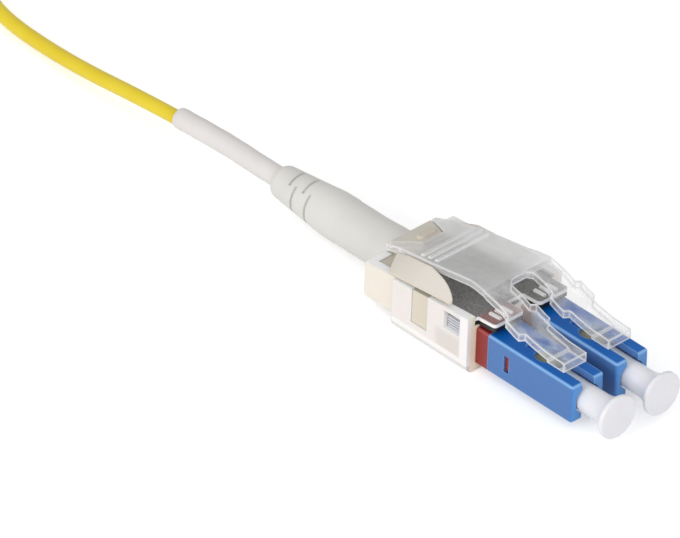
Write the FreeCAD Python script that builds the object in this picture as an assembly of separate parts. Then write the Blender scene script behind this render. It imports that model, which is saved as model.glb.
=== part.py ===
"""Duplex LC fibre connector on one round cable, with a reversible latch cover.

Millimetres. +X is the mating direction, +Y runs from the near plug to the far one, +Z is up.
While modelling, x = 0 is the plugs' front faces and z = 0 is the face that the housing rests on.
Every node is then moved along X, so that the origin is the middle of the housing's flat bottom.
"""
import FreeCAD, Part
import math
import os

V = FreeCAD.Vector

# ---------------------------------------------------------------- driving sizes
# the standard LC interface
PITCH = 6.25             # between the two plug axes
PLUG_W = 4.5             # plug body, square
PLUG_L = 12.3
PLUG_EDGE_R = 0.35
PLUG_BORE_R = 1.65       # front bore and flange chamber
PLUG_SLOT_W = 1.65       # slot between the front cheeks, top and bottom
FERRULE_R = 0.625
FERRULE_L = 6.5
FERRULE_TRAVEL = 1.0     # how far a ferrule gives when mated
AXIS_Z = 3.1             # plug axes above the resting face

# inside a plug, as depths behind its front face
LEDGE_DEPTH = 4.4        # front of the ledge that stops the flange
LEDGE_T = 0.6
LEDGE_R = 1.1
FLANGE_R = 1.55
FLANGE_L = 2.6
FLANGE_BEVEL = 0.25
FLANGE_SEAT_L = 1.6      # how deep the ferrule sits in its flange
STUB_R = 0.7             # the flange's rear stub
STUB_L = 2.0
EYE_R = 1.45             # round opening over the flange, top and bottom
EYE_DEPTH = 5.9
RECESS_W = 1.6           # shallow, narrower recess behind it
RECESS_DEPTH = 8.6
RECESS_FLOOR = 0.25      # how far the recess is sunk
WINDOW_DEPTH = 9.6       # middle of the side windows that the rear body snaps into
WINDOW_L = 0.75
WINDOW_H = 2.0

# rear body of a plug
SPACER_L = 1.7           # the visible block between plug and housing
BARREL_R = 1.6
BARREL_FRONT_DEPTH = 8.8
CATCH_PROUD = 0.4        # how far a catch stands into its window
NECK_R = 1.6
TAIL_R = 1.95            # the tail that the housing traps
TAIL_L = 2.0
SPRING_POCKET_R = 1.35
SPRING_POCKET_L = 4.0
SPRING_WIRE_R = 0.15
SPRING_R = 1.1           # to the middle of the wire
SPRING_TURNS = 6
SPRING_STEPS = 12

# housing
HOUSING_GAP = 0.05       # between the spacer blocks and the housing's front wall
HOUSING_L = 11.0
HOUSING_HALF_W = 6.6
HOUSING_EDGE_R = 1.0
COLLAR_L = 4.5
COLLAR_HALF_W = 6.2
COLLAR_LIFT = 0.6        # the collar's bottom above the resting face
COLLAR_EDGE_R = 1.5
RIM_FRONT_Z = 6.85       # top of the side walls at the front
RIM_REAR_Z = 6.0         # and where the collar begins
WALL = 1.0
FLOOR_T = 0.8
CAVITY_R = 0.4           # inside corners of the floor
COLLAR_CAVITY_R = 0.6
COLLAR_FLOOR_T = 0.8
SIDE_SLOT_FRONT = 5.9    # slot in each side wall, behind the housing's front plane
SIDE_SLOT_L = 2.4
SIDE_SLOT_Z = 2.2        # bottom of that slot
SIDE_WINDOW_FRONT = 1.2  # window in each side wall
SIDE_WINDOW_L = 2.3
SIDE_WINDOW_Z = 4.1
SIDE_WINDOW_H = 2.1

# lid (the upper shell)
LID_T = 0.9
LID_DROP = 0.25          # its top below the rim of the side walls
TONGUE_L = 2.5
TONGUE_HALF_W = 2.05
TONGUE_R = 0.4
TONGUE_RIBS = 3
RIB_W = 0.35
RIB_H = 0.2
RIB_L = 1.6
RIB_PITCH = 0.8

# cream holder and its crimp post
CHEEK_T = 1.2
CHEEK_FRONT = 5.7        # end of the side cheeks behind the housing's front plane
BLOCK_FRONT = 8.6        # front of the solid block behind the same plane
POST_R = 1.45
POST_L = 6.3
POST_BORE_R = 1.05
PAD_INSET = 0.15         # the pads in the side slots lie this far inside the walls
FIBRE_ROOM = 0.3         # round a fibre in its channel
PAD_RIBS = 4             # ribs of the dark insert in each side window
PAD_RIB_PITCH = 0.32
WING_REAR_LOW_X = -25.4  # the wings that rise beside the cover
WING_FRONT_X = -17.0
WING_GAP_REAR = 0.08     # above the rim of the side walls
WING_GAP_FRONT = 0.35
WING_HALF_W = 6.3
WING_EDGE_T = 0.25       # their thickness along the lower edge
WING_DROP = 0.3          # their top below the cover's top
WING_CLEAR = 0.12        # beside the cover's edge
WING_CUT_Z = 8.4         # above the cover where the slanting rear edge of the wings begins
# their front edge seen from above, (x, distance from the middle)
WING_FRONT = [(-22.3, 4.1), (-21.7, 4.35), (-20.3, 4.65), (-19.5, 4.85), (-18.8, 5.08), (-18.1, 5.36),
              (-17.5, 5.67), (-17.0, 6.0)]
WEB_HALF_W = 5.1         # what joins the wings to the cheeks
WEB_RISE = 0.45
ROOTED = 0.3             # how deep the webs and the deck are let into the block
DECK_DROP = 0.05         # the deck's top below the cover's top
BOSS_X = -27.2           # the low boss on the deck
BOSS_R = 0.45
BOSS_HALF_W = 0.7        # to the middle of each round end
BOSS_H = 0.3

# latch cover
COVER_T = 0.8
COVER_INSET = 0.15       # its rear edge before the collar's
COVER_REAR_HALF_W = 3.5
COVER_HALF_W = 4.2
COVER_WIDE_X = -22.5     # where it has reached that width
NOTCH_FRONT_X = -26.1    # notch in its rear edge, over the holder's deck
NOTCH_HALF_W = 1.45
NOTCH_REAR_HALF_W = 3.0
NOTCH_CLEAR = 0.15
ARM_HALF_W = 1.575
ARM_ROOT_X = -13.6       # rear edge of the window between the arms
ARM_T = 0.9
EAR_HALF_W = 2.2
EAR_REAR_X = -10.0
EAR_FRONT_X = -8.0
FOOT_REAR_X = -4.8
FOOT_FRONT_X = -2.0
FOOT_GAP = 0.52          # between a foot and the plug under it
RIDGES = 3
RIDGE_X = -23.9
RIDGE_PITCH = 1.0
RIDGE_H = 0.22
RIDGE_W = 0.6
RIDGE_HALF_L = 3.65
PIVOT_X = -26.5
PIVOT_Z = 5.2
PIN_R = 0.4
PIN_CLEAR = 0.03
PIVOT_EAR_T = 0.6
PIVOT_EAR_R = 0.75

# boot, marker sleeve and cable
BOOT_L = 18.9            # the part that shows behind the collar
BOOT_FRONT_R = 2.78
BOOT_WAIST_R = 2.5
BOOT_WAIST_X = -42.8
BOOT_REAR_R = 1.98
BOOT_ROUND = 0.9
BOOT_NECK_R = 2.1
BOOT_NECK_L = 0.95
SLIT_W = 0.35
SLIT_ROWS = (-46.4, -45.45, -44.3, -43.3)
SLIT_HALF_TURN = (50.0, 56.0)
CRIMP_T = 0.35
CRIMP_GRIP_L = 2.6
MARKER_R = 1.25
MARKER_REAR_X = -63.2
MARKER_FRONT_X = -40.0
CABLE_R = 0.8
FIBRE_R = 0.45

# dust caps
CAP_TUBE_R = 1.5
CAP_REACH = 4.25         # how far the tube goes into the plug
CAP_FLARE_X = 1.4        # where the tube begins to open out
CAP_FLARE_POWER = 3      # the flare opens with this power of the way along it
CAP_FLARE_STEPS = 7
CAP_HEAD_X = 4.0         # where the flare has reached the head's width
CAP_HEAD_R = 2.45
CAP_RIM = 0.12           # the head's two bevelled edges
CAP_FRONT_X = 4.5
CAP_DOME = 0.12          # how far the middle of the head's face stands out
CAP_BORE_CLEAR = 0.03
CAP_BLIND = 0.4          # room ahead of the ferrule's tip in the bore

# clearances
FIT = 0.05               # between pieces that are clipped together
RUN = 0.03               # running fits

# ---------------------------------------------------------------- worked out from them
NEAR, FAR = -PITCH / 2, PITCH / 2
HALF = PLUG_W / 2
SPACER_REAR = -PLUG_L - SPACER_L
FRONT = SPACER_REAR - HOUSING_GAP          # the housing's front plane
REAR = FRONT - HOUSING_L
COLLAR_REAR = REAR - COLLAR_L
INNER_HALF = HOUSING_HALF_W - WALL
COLLAR_INNER_HALF = COLLAR_HALF_W - WALL
COLLAR_FLOOR_Z = COLLAR_LIFT + COLLAR_FLOOR_T
CHEEK_IN = COLLAR_INNER_HALF - CHEEK_T
EAR_OUT = CHEEK_IN - FIT                   # the cover's pivot ears lie inside the cheeks
EAR_IN = EAR_OUT - PIVOT_EAR_T
EAR_ROOM = PIVOT_EAR_R + 3 * FIT
DECK_HALF_W = EAR_IN - 2 * FIT             # the holder's deck lies between them
LID_REAR_X = PIVOT_X + EAR_ROOM
BLOCK_REAR = COLLAR_REAR + WALL
COVER_REAR_X = COLLAR_REAR + COVER_INSET
POST_REAR = BLOCK_REAR - POST_L
FLANGE_FRONT = -(LEDGE_DEPTH + LEDGE_T)
FLANGE_REAR = FLANGE_FRONT - FLANGE_L
BARREL_FRONT = -BARREL_FRONT_DEPTH
SPRING_SEAT = BARREL_FRONT - SPRING_POCKET_L
FERRULE_TIP = FLANGE_FRONT - FLANGE_SEAT_L + FERRULE_L
TAIL_FRONT = FRONT - WALL - FIT
TAIL_REAR = TAIL_FRONT - TAIL_L
BOOT_REAR = COLLAR_REAR - BOOT_L
CRIMP_R = POST_R + FIT + CRIMP_T
ORIGIN_X = (FRONT + REAR) / 2
RIM_SLOPE = (RIM_FRONT_Z - RIM_REAR_Z) / HOUSING_L
HIGH = 20.0              # above everything

# the cover's top, from its rear edge to the feet: (x, z)
COVER_TOP = [(COVER_REAR_X, 6.75), (-27.0, 7.5), (-23.2, 8.35), (-18.0, 9.2), (-15.6, 9.6), (-14.0, 9.65),
             (-11.6, 9.1), (-9.9, 8.35), (-8.6, 7.85), (-6.5, 7.35), (-4.6, 7.05), (FOOT_FRONT_X, 6.95)]

# the cable's route down its middle, by hand; the last point is where the hank takes over
CABLE_REST_Z = CABLE_R + 0.05
CABLE_ROUTE = [
    (-35.1, 0.0, AXIS_Z),
    (-50.6, 0.05, AXIS_Z),
    (-66.0, -0.6, AXIS_Z - 0.15),
    (-80.5, -0.3, 1.0),
    (-92.5, 0.4, CABLE_REST_Z),
    (-99.5, 5.0, CABLE_REST_Z),
    (-104.0, 5.0, CABLE_REST_Z),
]

# the rest of the cable, folded into a hank: loops three wide and four high, pinched in by a tie
HANK_LEAD_L = 6.0
HANK_HALF_L = 10.0       # from the tie to the middle of each end's loops
HANK_LOOP_R = 6.4        # the middle loop of three, at the ends
HANK_HALF_THICK = 2.45
HANK_H = 6.4
HANK_PINCH = 3.5         # how far the tie draws each side in
HANK_FLAT = 2.6          # half of the pinched length
HANK_END_SIDES = 16
HANK_EDGE = 0.5
TIE_W = 4.0
TIE_T = 0.45
TIE_ROOM = 0.1


# ---------------------------------------------------------------- helpers
def rim(x):
    """Height of the side walls' rim at x."""
    return RIM_REAR_Z + (x - REAR) * RIM_SLOPE


def lid_top(x):
    return rim(x) - LID_DROP


def lid_bottom(x):
    return lid_top(x) - LID_T


def box(x0, x1, y0, y1, z0, z1):
    return Part.makeBox(x1 - x0, y1 - y0, z1 - z0, V(x0, y0, z0))


def rod(x0, x1, r, y=0.0, z=AXIS_Z):
    """A cylinder along X."""
    return Part.makeCylinder(r, x1 - x0, V(x0, y, z), V(1, 0, 0))


def crosspin(y0, y1, r, x, z):
    """A cylinder along Y."""
    return Part.makeCylinder(r, y1 - y0, V(x, y0, z), V(0, 1, 0))


def post(x, y, r, z0=-1.0, z1=HIGH):
    """A cylinder along Z."""
    return Part.makeCylinder(r, z1 - z0, V(x, y, z0), V(0, 0, 1))


def polygon(points):
    return Part.Face(Part.makePolygon(points + [points[0]]))


def side_prism(outline, half_w, y=0.0):
    """An outline of (x, z) points, as wide as 2 * half_w about y."""
    return polygon([V(x, y - half_w, z) for x, z in outline]).extrude(V(0, 2 * half_w, 0))


def plan_prism(outline, z0=0.0, z1=HIGH):
    """An outline of (x, y) points, from z0 up to z1."""
    return polygon([V(x, y, z0) for x, y in outline]).extrude(V(0, 0, z1 - z0))


def turned(profile, y=0.0):
    """A closed profile of (x, radius) points or arcs, turned about a plug's axis."""
    face = polygon([V(x, 0, r) for x, r in profile])
    solid = face.revolve(V(0, 0, 0), V(1, 0, 0), 360)
    solid.translate(V(0, y, AXIS_Z))
    return solid


def fillet(shape, r, wanted):
    """Round the edges for which wanted(edge) is true."""
    return shape.makeFillet(r, [e for e in shape.Edges if wanted(e)])


def runs_along(edge, axis):
    a, b = edge.Vertexes[0].Point, edge.Vertexes[-1].Point
    d = b - a
    return d.Length > 1e-6 and abs(abs(d.dot(axis)) - d.Length) < 1e-6


def along_x(edge):
    return runs_along(edge, V(1, 0, 0))


def along_z(edge):
    return runs_along(edge, V(0, 0, 1))


def at_x(edge, x):
    return all(abs(v.Point.x - x) < 1e-6 for v in edge.Vertexes)


def fused(first, *rest):
    return first.multiFuse(list(rest)).removeSplitter() if rest else first


def both_sides(shape):
    """The shape and its mirror image on the other side of the middle."""
    return [shape, shape.mirror(V(0, 0, 0), V(0, 1, 0))]


def above_rim(drop=0.0):
    """Everything above the rim line, or above a line that lies lower by drop."""
    x0, x1 = COLLAR_REAR - 5, FRONT + 5
    return side_prism([(x0, rim(x0) - drop), (x1, rim(x1) - drop), (x1, HIGH), (x0, HIGH)], HIGH)


def trough(x0, x1, half_w, z0, r):
    """A block with rounded lower long edges, open-ended upwards."""
    block = box(x0, x1, -half_w, half_w, z0, HIGH)
    return fillet(block, r, lambda e: along_x(e) and abs(e.Vertexes[0].Point.z - z0) < 1e-6)


# ---------------------------------------------------------------- plugs
def plug_body(y):
    body = box(-PLUG_L, 0, y - HALF, y + HALF, AXIS_Z - HALF, AXIS_Z + HALF)
    body = fillet(body, PLUG_EDGE_R, lambda e: along_x(e) or at_x(e, 0))
    bore = turned([(1, 0), (1, PLUG_BORE_R), (-LEDGE_DEPTH, PLUG_BORE_R), (-LEDGE_DEPTH, LEDGE_R),
                   (FLANGE_FRONT, LEDGE_R), (FLANGE_FRONT, PLUG_BORE_R), (-PLUG_L - 1, PLUG_BORE_R),
                   (-PLUG_L - 1, 0)], y)
    slot = box(-EYE_DEPTH, 1, y - PLUG_SLOT_W / 2, y + PLUG_SLOT_W / 2, 0, HIGH)
    recess = box(-RECESS_DEPTH, -EYE_DEPTH, y - RECESS_W / 2, y + RECESS_W / 2,
                 AXIS_Z + HALF - RECESS_FLOOR, HIGH)
    recess = fillet(recess, RECESS_W / 4, lambda e: along_z(e) and at_x(e, -RECESS_DEPTH))
    window = box(-WINDOW_DEPTH - WINDOW_L / 2, -WINDOW_DEPTH + WINDOW_L / 2, y - PLUG_W, y + PLUG_W,
                 AXIS_Z - WINDOW_H / 2, AXIS_Z + WINDOW_H / 2)
    return body.cut([bore, slot, recess, post(-EYE_DEPTH, y, EYE_R), window])


def rear_body(y):
    block = box(SPACER_REAR, -PLUG_L, y - HALF, y + HALF, AXIS_Z - HALF, AXIS_Z + HALF)
    block = fillet(block, PLUG_EDGE_R, along_x)
    inset = FIT
    catch = box(-WINDOW_DEPTH - WINDOW_L / 2 + inset, -WINDOW_DEPTH + WINDOW_L / 2 - inset,
                y - BARREL_R - CATCH_PROUD, y + BARREL_R + CATCH_PROUD,
                AXIS_Z - WINDOW_H / 2 + inset, AXIS_Z + WINDOW_H / 2 - inset)
    tail = rod(TAIL_REAR, TAIL_FRONT, TAIL_R, y)
    body = fused(block, rod(-PLUG_L, BARREL_FRONT, BARREL_R, y), catch,
                 rod(TAIL_FRONT, SPACER_REAR, NECK_R, y), tail)
    pocket = rod(SPRING_SEAT, BARREL_FRONT + 1, SPRING_POCKET_R, y)
    return body.cut([pocket, rod(TAIL_REAR - 1, SPRING_SEAT + 1, FIBRE_R + 2 * FIT, y)])


def flange(y):
    fibre_bore = FIBRE_R + RUN
    return turned([(FLANGE_FRONT, FERRULE_R), (FLANGE_FRONT, FLANGE_R - FLANGE_BEVEL),
                   (FLANGE_FRONT - FLANGE_BEVEL, FLANGE_R), (FLANGE_REAR, FLANGE_R),
                   (FLANGE_REAR, STUB_R), (FLANGE_REAR - STUB_L, STUB_R),
                   (FLANGE_REAR - STUB_L, fibre_bore), (FLANGE_FRONT - FLANGE_SEAT_L, fibre_bore),
                   (FLANGE_FRONT - FLANGE_SEAT_L, FERRULE_R)], y)


def ferrule(y):
    chamfer = 0.15
    rear = FERRULE_TIP - FERRULE_L
    return turned([(rear, 0), (rear, FERRULE_R), (FERRULE_TIP - chamfer, FERRULE_R),
                   (FERRULE_TIP, FERRULE_R - chamfer), (FERRULE_TIP, 0)], y)


def spring(y):
    """A coil spring from its pocket's bottom to the flange, in straight pieces between hexagons."""
    first, last = SPRING_SEAT + SPRING_WIRE_R + 0.02, FLANGE_REAR - SPRING_WIRE_R - 0.02
    steps = SPRING_TURNS * SPRING_STEPS
    sections = []
    for i in range(steps + 1):
        turn = 2 * math.pi * i / SPRING_STEPS
        out = V(0, math.cos(turn), math.sin(turn))
        middle = V(first + (last - first) * i / steps, y, AXIS_Z) + out * SPRING_R
        corners = []
        for k in range(6):
            a = math.pi * k / 3
            corners.append(middle + (out * math.cos(a) + V(1, 0, 0) * math.sin(a)) * SPRING_WIRE_R)
        sections.append(Part.makePolygon(corners + [corners[0]]))
    return Part.makeLoft(sections, True, True)


def dust_cap(y):
    """Tube, trumpet flare and a thin domed head, with a blind bore that grips the ferrule."""
    bore = FERRULE_R + CAP_BORE_CLEAR
    blind = FERRULE_TIP + CAP_BLIND
    rim_in = CAP_HEAD_R - CAP_RIM
    outside = [(-CAP_REACH, bore), (-CAP_REACH, CAP_TUBE_R)]
    for i in range(CAP_FLARE_STEPS + 1):
        share = i / CAP_FLARE_STEPS
        outside.append((CAP_FLARE_X + share * (CAP_HEAD_X - CAP_FLARE_X),
                        CAP_TUBE_R + share ** CAP_FLARE_POWER * (rim_in - CAP_TUBE_R)))
    head = [(CAP_HEAD_X + CAP_RIM, CAP_HEAD_R), (CAP_FRONT_X - CAP_RIM, CAP_HEAD_R), (CAP_FRONT_X, rim_in),
            (CAP_FRONT_X + CAP_DOME, 0), (blind, 0), (blind, bore)]
    return turned(outside + head, y)


def fibre_route(y):
    """A fibre's route from its ferrule's stub, swinging in between the plugs, to the cable."""
    side = math.copysign(FIBRE_R + 2 * FIT, y)
    tip = FLANGE_REAR - FERRULE_TRAVEL + 0.3
    return [V(tip, y, AXIS_Z), V(TAIL_REAR - 3.3, y, AXIS_Z), V(BLOCK_REAR + 3.0, side, AXIS_Z),
            V(CABLE_ROUTE[0][0] + FIT, side, AXIS_Z)]


def fibre(y):
    return tube(fibre_route(y), FIBRE_R)


# ---------------------------------------------------------------- routed tubes
def routed(points):
    """Straight runs joined by tangent arcs: the wire, its length and the arcs' radii."""
    edges, radii, length, here = [], [], 0.0, points[0]
    for before, corner, after in zip(points, points[1:], points[2:]):
        a, b = before - corner, after - corner
        short = min(a.Length, b.Length)
        a.normalize()
        b.normalize()
        turn = math.pi - a.getAngle(b)
        reach = 0.45 * short
        r = reach / math.tan(turn / 2)
        middle_way = a + b
        middle_way.normalize()
        start, end = corner + a * reach, corner + b * reach
        middle = corner + middle_way * (r / math.cos(turn / 2) - r)
        edges += [Part.makeLine(here, start), Part.Arc(start, middle, end).toShape()]
        length += (start - here).Length + r * turn
        radii.append(r)
        here = end
    edges.append(Part.makeLine(here, points[-1]))
    length += (points[-1] - here).Length
    return Part.Wire(edges), length, radii


def tube(points, r):
    wire, length, radii = routed(points)
    section = Part.Wire([Part.makeCircle(r, points[0], points[1] - points[0])])
    solid = wire.makePipeShell([section], True, False)
    print("tube r %.2f: length %.2f, radii %s, volume ratio %.4f" % (
        r, length, ["%.1f" % x for x in radii], solid.Volume / (math.pi * r * r * length)))
    return solid


# ---------------------------------------------------------------- housing
def neck_slots(r):
    """The upright U slots of the front wall, for the necks of the rear bodies."""
    slots = []
    for y in (NEAR, FAR):
        slots += [rod(FRONT - WALL - 1, FRONT + 1, r, y),
                  box(FRONT - WALL - 1, FRONT + 1, y - r, y + r, AXIS_Z, HIGH)]
    return slots


def side_slot(clear=0.0):
    """The slot in the near side wall, less a clearance all round."""
    front = FRONT - SIDE_SLOT_FRONT
    return box(front - SIDE_SLOT_L + clear, front - clear, -HIGH, 0, SIDE_SLOT_Z + clear, HIGH)


def side_window(clear=0.0):
    front = FRONT - SIDE_WINDOW_FRONT
    return box(front - SIDE_WINDOW_L + clear, front - clear, -HIGH, 0, SIDE_WINDOW_Z + clear,
               SIDE_WINDOW_Z + SIDE_WINDOW_H - clear)


def lid_plan(grow=0.0, rear=0.0, front=0.0):
    """The lid seen from above without its tongues, narrow between the cheeks and wide before them."""
    x0, step, x1 = LID_REAR_X - rear, FRONT - CHEEK_FRONT + FIT - grow, FRONT + front
    wide, narrow = INNER_HALF - FIT + grow, CHEEK_IN - FIT + grow
    return plan_prism([(x0, -narrow), (step, -narrow), (step, -wide), (x1, -wide), (x1, wide),
                       (step, wide), (step, narrow), (x0, narrow)])


def lid_room():
    """What the lower shell leaves free for the lid and, in its rear wall, for the holder's deck."""
    x0, x1 = COLLAR_REAR - 2, FRONT + 2
    above = side_prism([(x0, lid_bottom(x0) - FIT), (x1, lid_bottom(x1) - FIT), (x1, HIGH), (x0, HIGH)], HIGH)
    deck = box(COLLAR_REAR - 1, LID_REAR_X, -DECK_HALF_W - FIT, DECK_HALF_W + FIT, 0, HIGH)
    return above.common(fused(lid_plan(FIT, 1, 1), deck))


def lower_shell():
    main = trough(REAR, FRONT, HOUSING_HALF_W, 0, HOUSING_EDGE_R)
    collar = trough(COLLAR_REAR, REAR + WALL, COLLAR_HALF_W, COLLAR_LIFT, COLLAR_EDGE_R)
    outside = main.fuse(collar).cut(above_rim())
    cavity = trough(REAR + FIT, FRONT - WALL, INNER_HALF, FLOOR_T, CAVITY_R)
    collar_cavity = trough(BLOCK_REAR - FIT, REAR + 2 * WALL, COLLAR_INNER_HALF, COLLAR_FLOOR_Z,
                           COLLAR_CAVITY_R)
    boot_hole = [rod(COLLAR_REAR - 1, BLOCK_REAR + 1, BOOT_NECK_R + FIT),
                 box(COLLAR_REAR - 1, BLOCK_REAR + 1, -BOOT_NECK_R - FIT, BOOT_NECK_R + FIT, AXIS_Z, HIGH)]
    return outside.cut([cavity, collar_cavity, *boot_hole, *neck_slots(NECK_R + FIT), lid_room(),
                        *both_sides(side_slot()), *both_sides(side_window())])


def upper_shell():
    rear, front = LID_REAR_X, FRONT + TONGUE_L
    slab = side_prism([(rear, lid_bottom(rear)), (front, lid_bottom(front)), (front, lid_top(front)),
                       (rear, lid_top(rear))], HIGH)
    tongues, saddles, necks, ribs = [], [], [], []
    for y in (NEAR, FAR):
        tongue = box(FRONT - 1, front, y - TONGUE_HALF_W, y + TONGUE_HALF_W, 0, HIGH)
        tongues.append(fillet(tongue, TONGUE_R, lambda e: along_z(e) and at_x(e, front)))
        # a saddle under the lid closes each neck slot of the front wall
        saddles.append(box(FRONT - WALL, FRONT, y - NECK_R, y + NECK_R, AXIS_Z,
                           lid_bottom(FRONT - WALL) + 0.1))
        necks.append(rod(FRONT - WALL - 1, FRONT + 1, NECK_R + FIT, y))
        for i in range(TONGUE_RIBS):
            middle = y + (i - (TONGUE_RIBS - 1) / 2) * RIB_PITCH
            x1 = front - 0.5
            x0 = x1 - RIB_L
            ribs.append(side_prism([(x0, lid_top(x0) - RIB_H), (x1, lid_top(x1) - RIB_H),
                                    (x1, lid_top(x1) + RIB_H), (x0, lid_top(x0) + RIB_H)], RIB_W / 2, middle))
    lid = slab.common(fused(lid_plan(), *tongues))
    return fused(lid, *saddles, *ribs).cut(necks)


def under(top_z, x0, x1, half_w):
    """Everything under a sloping line top_z(x)."""
    return side_prism([(x0, 0), (x1, 0), (x1, top_z(x1)), (x0, top_z(x0))], half_w)


def below_lid(x):
    return lid_bottom(x) - FIT


def below_rim(x):
    return rim(x) - 2 * FIT


def inner_frame():
    """The dark insert: it traps the tails of the rear bodies and guides the fibres."""
    front, step, rear = FRONT - WALL - FIT, FRONT - CHEEK_FRONT + FIT, FRONT - BLOCK_FRONT + FIT
    wide, narrow = INNER_HALF - FIT, CHEEK_IN - FIT
    outline = plan_prism([(rear, -narrow), (step, -narrow), (step, -wide), (front, -wide), (front, wide),
                          (step, wide), (step, narrow), (rear, narrow)])
    body = trough(rear, front, wide, FLOOR_T + FIT, CAVITY_R).common(outline)
    body = body.common(under(below_lid, rear - 1, front + 1, HIGH))
    cuts = []
    for y in (NEAR, FAR):
        cuts += [rod(TAIL_REAR - FIT, front + 1, TAIL_R + FIT, y),
                 box(TAIL_REAR - FIT, front + 1, y - TAIL_R - FIT, y + TAIL_R + FIT, AXIS_Z, HIGH),
                 tube(fibre_route(y), FIBRE_R + FIBRE_ROOM)]
    body = body.cut(cuts)
    ribs = []
    for i in range(PAD_RIBS):
        z = SIDE_WINDOW_Z + 0.12 + i * PAD_RIB_PITCH
        rib = box(front - SIDE_WINDOW_L - 1, front, -HOUSING_HALF_W + 0.5, -wide + 0.1,
                  z, z + PAD_RIB_PITCH * 0.55)
        ribs += both_sides(rib.common(side_window(2 * FIT)))
    return fused(body, *ribs)


def wing():
    """The near wing: from the cheek up beside the cover and out over the side wall's rim."""
    sections = []
    stations = [COVER_REAR_X, WING_REAR_LOW_X, COVER_WIDE_X, WING_FRONT_X - 2.5, WING_FRONT_X]
    for x in stations:
        share = (x - COVER_REAR_X) / (WING_FRONT_X - COVER_REAR_X)
        low = rim(x) + WING_GAP_REAR + share * (WING_GAP_FRONT - WING_GAP_REAR)
        inner = max(CHEEK_IN, cover_edge(x) + WING_CLEAR)
        sections.append(Part.makePolygon([V(x, -inner, low), V(x, -inner, cover_top(x) - WING_DROP),
                                          V(x, -WING_HALF_W, low + WING_EDGE_T), V(x, -WING_HALF_W, low),
                                          V(x, -inner, low)]))
    wall = Part.makeLoft(sections, True, True)
    # the rear edge slants and the front edge is a convex curve seen from above
    keep = side_prism([(WING_REAR_LOW_X, 0), (WING_REAR_LOW_X, rim(REAR)), (COVER_REAR_X, WING_CUT_Z),
                       (COVER_REAR_X, HIGH), (WING_FRONT_X, HIGH), (WING_FRONT_X, 0)], HIGH)
    inside = plan_prism([(x, -y) for x, y in WING_FRONT] + [(FRONT, -WING_FRONT[-1][1]), (FRONT, 0),
                                                            (WING_FRONT[0][0], 0)])
    x0, x1 = WING_REAR_LOW_X + 2 * FIT, FRONT - CHEEK_FRONT
    inner = COVER_HALF_W + WING_CLEAR + FIT
    web = side_prism([(x0, rim(x0) - ROOTED), (x1, rim(x1) - ROOTED), (x1, rim(x1) + WEB_RISE),
                      (x0, rim(x0) + WEB_RISE)], (WEB_HALF_W - inner) / 2, -(WEB_HALF_W + inner) / 2)
    return fused(wall.common(keep), web).cut(inside)


def deck():
    """The holder's deck: it closes the collar over the boot's neck and fills the cover's notch."""
    x0, x1 = COLLAR_REAR + 2 * FIT, NOTCH_FRONT_X - NOTCH_CLEAR
    lip = box(x0, BLOCK_REAR + FIT, -DECK_HALF_W, DECK_HALF_W, 0, HIGH)
    lip = lip.common(under(below_rim, x0 - 1, x1, HIGH))
    lip = lip.cut(under(lid_bottom, x0 - 1, x1, HIGH))
    rear_half, front_half = NOTCH_REAR_HALF_W - NOTCH_CLEAR, NOTCH_HALF_W - NOTCH_CLEAR
    raised = plan_prism([(x0, -rear_half), (x1, -front_half), (x1, front_half), (x0, rear_half)],
                        rim(x0) - ROOTED)
    between = [x for x, _ in COVER_TOP if x0 < x < x1]
    top = [(x, cover_top(x) - DECK_DROP) for x in [x0, *between, x1]]
    raised = raised.common(side_prism([(x1, 0), (x0, 0), *top], HIGH))
    boss_top = cover_top(BOSS_X) + BOSS_H
    boss = box(BOSS_X - BOSS_R, BOSS_X + BOSS_R, -BOSS_HALF_W, BOSS_HALF_W, rim(x0), boss_top)
    ends = [post(BOSS_X, y, BOSS_R, rim(x0), boss_top) for y in (-BOSS_HALF_W, BOSS_HALF_W)]
    neck = rod(COLLAR_REAR - 1, BLOCK_REAR + FIT, BOOT_NECK_R + FIT)
    return fused(lip, raised, boss, *ends).cut(neck)


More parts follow.
